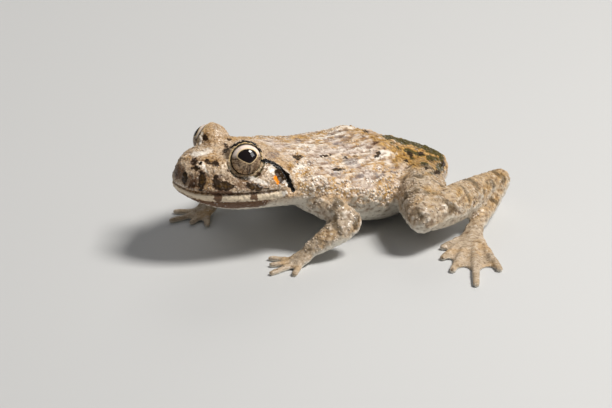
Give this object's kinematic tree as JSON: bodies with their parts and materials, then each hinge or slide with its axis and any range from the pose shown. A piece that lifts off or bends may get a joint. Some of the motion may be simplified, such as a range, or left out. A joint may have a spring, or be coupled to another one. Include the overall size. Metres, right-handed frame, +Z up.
{
  "type": "crab-eating frog model",
  "caption": "Life-size still model of a crab-eating frog crouching on webbed feet, head level, with warty folded skin.",
  "frame": {"origin": "on the floor, under the middle of the frog's box", "axes": "the frog faces -Y, its left side is +X, +Z is up"},
  "size_m": [0.0952, 0.0764, 0.0272],
  "materials": {
    "skin_tan": "wet tan skin with dark blotches",
    "lip_cream": "wet cream skin with brown spots",
    "limb_olive": "wet olive skin with dark crossbars",
    "foot_grey": "wet grey-brown skin",
    "eye_gold": "glossy golden eye"
  },
  "bodies": {
    "root": {"head": "skin_tan", "torso": "skin_tan", "lower_jaw": "lip_cream", "eye_left": "eye_gold", "eye_right": "eye_gold", "upper_arm_left": "limb_olive", "forearm_left": "limb_olive", "thigh_left": "limb_olive", "shank_left": "limb_olive", "ankle_left": "limb_olive", "upper_arm_right": "limb_olive", "forearm_right": "limb_olive", "thigh_right": "limb_olive", "shank_right": "limb_olive", "ankle_right": "limb_olive", "hand_left": "foot_grey", "foot_left": "foot_grey", "hand_right": "foot_grey", "foot_right": "foot_grey"}
  },
  "joints": []
}
